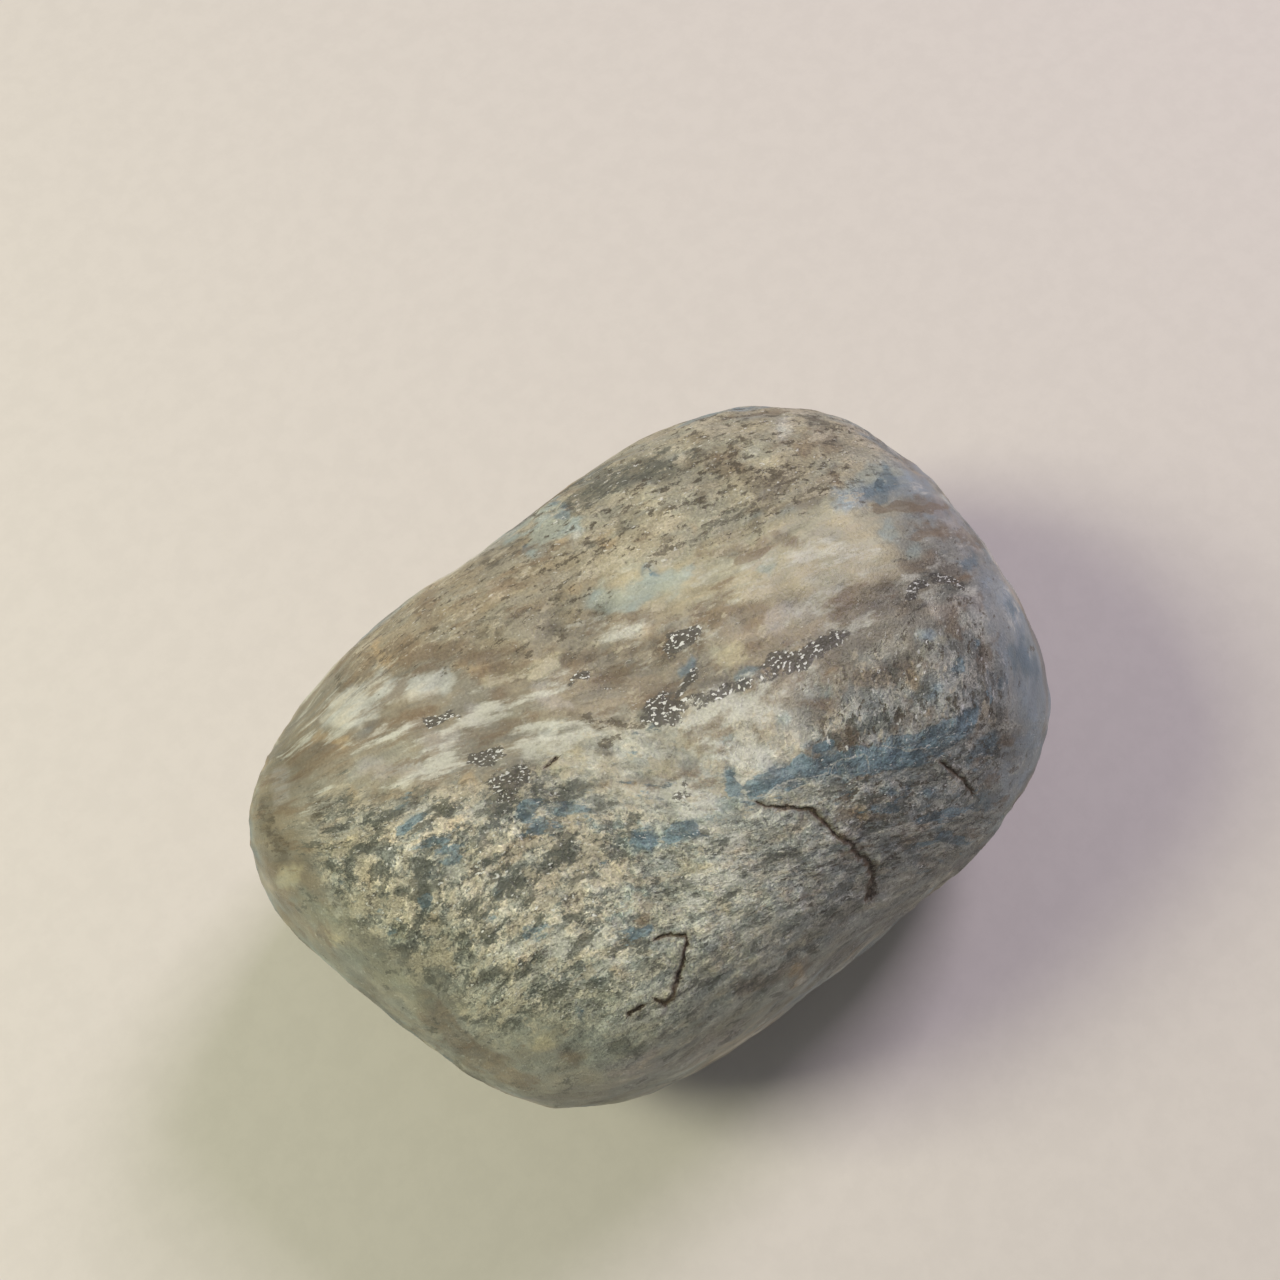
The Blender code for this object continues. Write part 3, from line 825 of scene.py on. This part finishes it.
def jadeite_finish(colours, sizes):
    """The stone's material: ground, streaks, crystals, minerals, specks, painted glints, cracks with painted
    shade in their gaps, painted shade and light by the relief, and fine bump.
    """
    f = Finish("jadeite")
    place = f.add("ShaderNodeTexCoord", {}, output=3)
    flow = f.kept("flow", output=1)
    along = f.stretched(flow, SHEET_STRETCH)
    short = f.stretched(flow, (1.6, 1.0, 1.4), -8)
    streaky, peppery, crystalline = f.parts(f.kept("texture", output=0))
    wispy = f.kept("texture", output=3)
    grainy = f.math("MAXIMUM", peppery, crystalline)

    # The ground: streaks of lighter and darker, warmer and cooler rock, then salt and pepper.
    light, warm, cluster = f.waves(along, 1.2 * MM, 5, 0.62)
    pepper, salt, crumb = f.waves(short, 0.44 * MM, 4, 0.72)
    grit = f.waves(place, 0.15 * MM, 2, 0.6)[0]
    one = f.waves(along, 1.7 * MM, 6, 0.66)
    two = f.waves(short, 1.05 * MM, 6, 0.72)
    ground = f.mixed(f.between(warm, -1.6, 1.6), (1.04, 1.0, 0.95), (0.97, 1.0, 1.04))
    ground = f.mixed(1.0, f.kept("ground", output=0), ground, "MULTIPLY")
    dark = f.between(f.math("MULTIPLY_ADD", cluster, 0.8, pepper), -1.3, -2.0)
    bright = f.between(f.math("MULTIPLY_ADD", cluster, 0.3, salt), 0.9, 1.6)
    specks = f.math("MULTIPLY_ADD", dark, -0.55, f.math("MULTIPLY", bright, 0.34))
    tone = f.math("MULTIPLY_ADD", f.between(light, -2.2, 2.2, -0.34, 0.34), streaky, 1.0)
    tone = f.product(tone, f.math("MULTIPLY_ADD", specks, peppery, 1.0))
    gather = f.math("SUBTRACT", two[0], two[1])
    ground, height = crystal_colours(f, f.dimmed(ground, tone), place, flow, gather, crystalline)

    # Minerals: each shows where its level and the noise add up to more than nothing.
    looks = {
        "white": (one[0], 0.9, 0.7), "cream": (two[0], 0.4, 0.66), "rust": (one[2], 0.8, 0.6),
        "umber": (pepper, 0.3, 0.68), "moss": (two[1], 0.35, 0.7), "slate": (one[1], 0.45, 0.8),
        "mica": (two[2], 0.5, 0.84),
    }
    shown = {}
    colour = ground
    for mineral, (edge, soft, strength) in looks.items():
        level = f.math("ADD" if mineral != "umber" else "SUBTRACT", f.kept(mineral), edge)
        shown[mineral] = f.between(level, -soft, soft, 0.0, strength)
        tint = tuple(getattr(colours, mineral))
        if mineral == "slate":
            tint = f.dimmed(tint, f.between(two[0], -1.2, 1.6, 0.65, 1.75))
        colour = f.mixed(shown[mineral], colour, tint)
    gritty = f.math("MULTIPLY_ADD", grainy, 0.11, 0.03)
    colour = f.dimmed(colour, f.math("MULTIPLY_ADD", grit, gritty, 1.0))

    # Painted glints: ragged near-white flecks in the mica, and a few sparks in the crystals, stand in for
    # the light that they reflect.
    flake, flash, _ = f.waves(f.stretched(flow, (1.6, 1.0, 1.4), 6), 0.17 * MM, 1, 0.5)
    glinting_flakes = f.product(f.between(flake, 0.45, 0.85), f.between(flash, -0.4, 0.8), shown["mica"])
    glinting_sparks = f.product(f.between(flake, 1.8, 2.3), f.between(salt, 0.2, 0.8), grainy)
    painted_glint = f.math("MINIMUM", f.math("MULTIPLY_ADD", glinting_sparks, 0.8, f.math("MULTIPLY", glinting_flakes, 1.4)), 0.95)
    colour = f.mixed(painted_glint, colour, tuple(colours.painted_glint))

    # Lines: wisps and veinlets of white, then the cracks with rust beside them and a painted shade in their
    # open gaps.
    wisp = f.product(f.between(f.math("ABSOLUTE", crumb), 0.2, 0.04), f.between(one[0], 0.0, 0.9), wispy)
    wobble = f.math("MULTIPLY", f.waves(place, 0.5 * MM, 3)[0], 0.35)
    white_off = f.math("ABSOLUTE", f.math("ADD", f.kept("white_line"), wobble))
    broken = f.between(salt, -1.4, 0.2)
    white_line = f.product(f.between(white_off, 1.0, 0.25), f.kept("white_line_near"), broken)
    white_line = f.math("MAXIMUM", white_line, wisp)
    colour = f.mixed(f.math("MULTIPLY", white_line, 0.55), colour, tuple(colours.white))
    crack_near = f.kept("crack_near")
    crack_at = f.math("ADD", f.kept("crack"), wobble)
    crack_off = f.math("ABSOLUTE", crack_at)
    stain = f.product(f.between(crack_off, 3.0, 0.5), crack_near, f.between(light, -1.5, 0.8, 0.5, 1.0))
    colour = f.mixed(f.math("MULTIPLY", stain, 0.42), colour, tuple(colours.rust))
    fill = f.product(f.between(crack_off, 1.15, 0.5), crack_near, 0.8)
    colour = f.mixed(fill, colour, tuple(colours.earth))
    # Painted shade: a near-black line is laid where each crack opens, in place of the shade inside the gap.
    gap = f.between(f.math("ABSOLUTE", f.math("SUBTRACT", crack_at, 0.35)), 0.5, 0.15)
    gap = f.product(gap, crack_near, f.between(warm, -1.2, 0.6, 0.35, 0.9))
    colour = f.mixed(gap, colour, tuple(colours.crack))

    # Painted shade and light: low places of the relief are painted darker and high places a little lighter.
    colour = f.dimmed(colour, f.between(f.kept("relief"), -0.16, 0.1, 0.76, 1.08))
    f.put(f.shader.inputs["Base Color"], colour)

    # The skin: satin where it is worn, rougher in the grain, glossier where the glints are painted.
    rough = f.math("MULTIPLY_ADD", grainy, 0.1, f.between(grit, -1.0, 1.0, 0.4, 0.5))
    f.put(f.shader.inputs["Roughness"], f.math("MULTIPLY_ADD", painted_glint, -0.22, rough))
    height = f.product(height, crystalline, 1.6)
    pits = f.math("MULTIPLY_ADD", dark, -0.8, f.math("MULTIPLY", bright, 0.5))
    height = f.math("ADD", height, f.product(pits, peppery))
    height = f.math("ADD", height, f.product(light, streaky, 0.1))
    height = f.math("ADD", height, f.product(grit, f.math("MULTIPLY_ADD", grainy, 0.16, 0.03)))
    bump = f.add("ShaderNodeBump", {"Strength": 0.8, "Distance": sizes.bump_height, "Height": height})
    f.put(f.shader.inputs["Normal"], bump)
    return f.material


def plain_finish(name, colour, rough):
    """A matt material with a trace of grain."""
    f = Finish(name)
    place = f.add("ShaderNodeTexCoord", {}, output=3)
    grain = f.between(f.waves(place, 2 * MM, 4)[0], -2.0, 2.0, 0.985, 1.015)
    f.put(f.shader.inputs["Base Color"], f.dimmed(tuple(colour), grain))
    f.shader.inputs["Roughness"].default_value = rough
    return f.material


def shape_stone(sizes):
    """Models the stone's relief, and keeps on it the fields that the finish reads."""
    stone = copy_of_solid()
    refine_along_cracks(stone)
    zones = View(stone)
    zones.wander(4.5 * MM, 22, 1)
    zones.wander(1.4 * MM, 10, 2)
    shares = zone_shares(zones)
    texture = [sum(share * ZONE_MIX[zone][i] for zone, share in shares.items()) for i in (1, 2, 3, 4)]
    lines = View(stone)
    flow = flow_places(lines)
    lines.wander(0.7 * MM, 2.2, 3)
    crack, crack_near = line_field(lines, CRACKS)
    white, white_near = line_field(lines, WHITE_LINES)
    marks = View(stone)
    marks.wander(1.2 * MM, 6, 4)
    fields = mineral_fields(marks, shares)
    heights = raise_relief(stone, sizes, flow, texture[2], crack, crack_near)
    fields.update(relief=heights / MM, crack=crack, crack_near=crack_near, white_line=white,
                  white_line_near=white_near)
    for name, values in fields.items():
        keep(stone, name, values)
    keep(stone, "flow", flow, "FLOAT_VECTOR")
    keep(stone, "texture", np.stack(texture, axis=1), "FLOAT_COLOR")
    return stone, shares, flow


def colour_ground(stone, shares, flow, colours):
    """Keeps the ground colour of each point: the zones' colours, with the soft patches laid over them."""
    tones = {zone: np.array(getattr(colours, ZONE_MIX[zone][0])) for zone in shares}
    ground = sum(share[:, None] * tones[zone] for zone, share in shares.items())
    view = View(stone)
    view.wander(2.0 * MM, 10, 5)
    view.wander(0.7 * MM, 8, 6)
    for seed, (name, groups) in enumerate(PATCHES.items()):
        ragged = waves_at(flow, RAGGED_SIZE, (1.7, 1.0, 1.4), 20 + seed, 3)
        inside = smooth_step(inside_strokes(view, groups) + 0.5 * ragged, 0.25, 0.85)
        wild = smooth_step(waves_at(flow, WILD_SIZE, SHEET_STRETCH, 40 + seed, 3), WILD_FROM, WILD_FULLY)
        laid = PATCH_STRENGTH[name] * (inside * view.seen + wild * (1 - view.seen))
        ground += (np.array(getattr(colours, name)) - ground) * laid[:, None]
    keep(stone, "ground", np.concatenate([ground, np.ones((len(ground), 1))], axis=1), "FLOAT_COLOR")


class JADEITE_OT_stone(bpy.types.Operator):
    """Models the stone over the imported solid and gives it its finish"""

    bl_idname = "jadeite.stone"
    bl_label = "Make the stone"

    def execute(self, context):
        sizes, colours = context.scene.jadeite_sizes, context.scene.jadeite_colours
        stone, shares, flow = shape_stone(sizes)
        colour_ground(stone, shares, flow, colours)
        stone.data.materials.clear()
        stone.data.materials.append(jadeite_finish(colours, sizes))
        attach(stone, "root")
        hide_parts(NODE)
        return {"FINISHED"}


def soft_light(name, place, power, colour):
    """A square soft light that faces the stone, as wide as a share of its distance."""
    azimuth, elevation, distance = place
    data = bpy.data.lights.new(name, "AREA")
    data.size = distance * LIGHT_WIDTH
    data.energy = power
    data.color = colour
    lamp = bpy.data.objects.new(name, data)
    a, e = math.radians(azimuth + CAMERA_AZIMUTH), math.radians(elevation)
    towards = Vector((math.cos(a) * math.cos(e), math.sin(a) * math.cos(e), math.sin(e)))
    lamp.location = towards * distance
    lamp.rotation_euler = towards.to_track_quat("Z", "Y").to_euler()
    bpy.context.scene.collection.objects.link(lamp)


class JADEITE_OT_stage(bpy.types.Operator):
    """Sets the table, the lights, the sky and the camera"""

    bl_idname = "jadeite.stage"
    bl_label = "Make the stage"

    def execute(self, context):
        looks = context.scene.jadeite_stage
        deselect_all()
        bpy.ops.mesh.primitive_plane_add(size=TABLE_SIZE, location=(0, 0, 0))
        table = context.object
        table.name = "table"
        table.data.materials.append(plain_finish("pale table", looks.table, 0.7))
        soft_light("north light", NORTH_LIGHT, looks.north_power, looks.north_light)
        soft_light("west light", WEST_LIGHT, looks.west_power, looks.west_light)
        sky = bpy.data.worlds.new("sky")
        sky.use_nodes = True
        light = sky.node_tree.nodes["Background"]
        light.inputs["Color"].default_value = (*looks.sky, 1)
        light.inputs["Strength"].default_value = looks.sky_strength
        context.scene.world = sky
        context.scene.view_settings.view_transform = "Standard"
        data = bpy.data.cameras.new("camera")
        data.sensor_width = SENSOR
        data.lens = FOCAL / PICTURE * SENSOR
        data.clip_start = 5 * MM
        camera = bpy.data.objects.new("camera", data)
        axes = Matrix(camera_axes()).transposed()
        camera.matrix_world = Matrix.Translation(CAMERA_PLACE) @ axes.to_4x4()
        context.scene.collection.objects.link(camera)
        context.scene.camera = camera
        return {"FINISHED"}


class JADEITE_PT_panel(bpy.types.Panel):
    """The steps that make the stone, in order, with their sizes and colours"""

    bl_label = "Jadeite stone"
    bl_idname = "JADEITE_PT_panel"
    bl_space_type = "VIEW_3D"
    bl_region_type = "UI"
    bl_category = "Jadeite"

    def draw(self, context):
        scene = context.scene
        for operator in (JADEITE_OT_stone, JADEITE_OT_stage):
            self.layout.operator(operator.bl_idname)
        for settings in (scene.jadeite_sizes, scene.jadeite_colours, scene.jadeite_stage):
            box = self.layout.box()
            for name in type(settings).__annotations__:
                box.prop(settings, name)


CLASSES = (StoneSizes, StoneColours, StageLooks, JADEITE_OT_stone, JADEITE_OT_stage, JADEITE_PT_panel)


def register():
    for item in CLASSES:
        bpy.utils.register_class(item)
    bpy.types.Scene.jadeite_sizes = PointerProperty(type=StoneSizes)
    bpy.types.Scene.jadeite_colours = PointerProperty(type=StoneColours)
    bpy.types.Scene.jadeite_stage = PointerProperty(type=StageLooks)


def unregister():
    del bpy.types.Scene.jadeite_stage
    del bpy.types.Scene.jadeite_colours
    del bpy.types.Scene.jadeite_sizes
    for item in reversed(CLASSES):
        bpy.utils.unregister_class(item)


def main():
    register()
    bpy.ops.jadeite.stone()
    bpy.ops.jadeite.stage()


if __name__ == "__main__":
    main()
